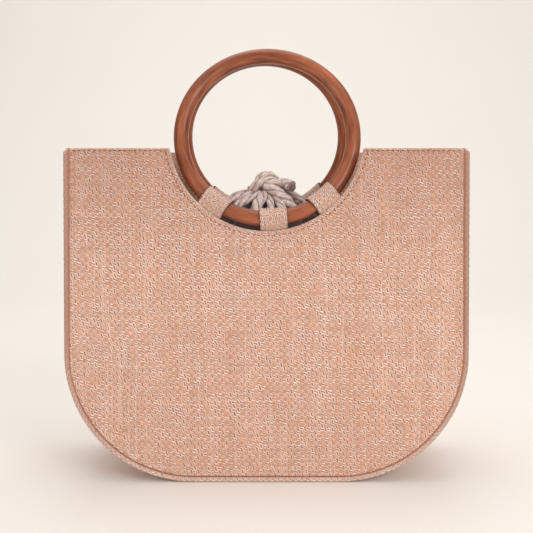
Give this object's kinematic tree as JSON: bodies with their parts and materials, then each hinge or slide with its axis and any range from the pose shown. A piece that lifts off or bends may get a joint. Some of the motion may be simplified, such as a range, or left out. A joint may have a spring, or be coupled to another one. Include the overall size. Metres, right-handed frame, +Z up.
{
  "type": "straw handbag with ring handles",
  "caption": "Woven straw handbag, U-shaped with a scooped top edge, wooden ring handles held in straw loops and a gathered drawstring lining.",
  "frame": {"origin": "on the floor under the middle of the bag, where it stands on its two bindings", "axes": "+Z up, -Y out of the front panel, +X to the right as seen from the front"},
  "size_m": [0.3256, 0.1184, 0.3532],
  "materials": {
    "straw": "plain basket weave of fine pale pink-tan straw strands, matt with a faint sheen",
    "wood": "varnished red-brown wood, smooth and glossy",
    "lining": "thin grey cotton cloth, gathered",
    "rope": "soft twisted cotton rope, off-white"
  },
  "bodies": {
    "bag": {"front_panel": "straw", "back_panel": "straw", "gusset": "straw", "front_binding": "straw", "back_binding": "straw", "front_loop_left": "straw", "front_loop_center": "straw", "front_loop_right": "straw", "back_loop_left": "straw", "back_loop_center": "straw", "back_loop_right": "straw", "lining_collar": "lining", "drawstring": "rope"},
    "front_ring": {"front_ring": "wood"},
    "back_ring": {"back_ring": "wood"}
  },
  "joints": [
    {"name": "front_ring_spin", "type": "hinge", "parent": "bag", "child": "front_ring", "pos_m": [0.0006, -0.02847, 0.28077], "axis": [0, -0.9511, 0.309], "continuous": true},
    {"name": "back_ring_spin", "type": "hinge", "parent": "bag", "child": "back_ring", "pos_m": [-0.0012, 0.0276, 0.28055], "axis": [0, 0.9521, 0.3057], "continuous": true}
  ]
}
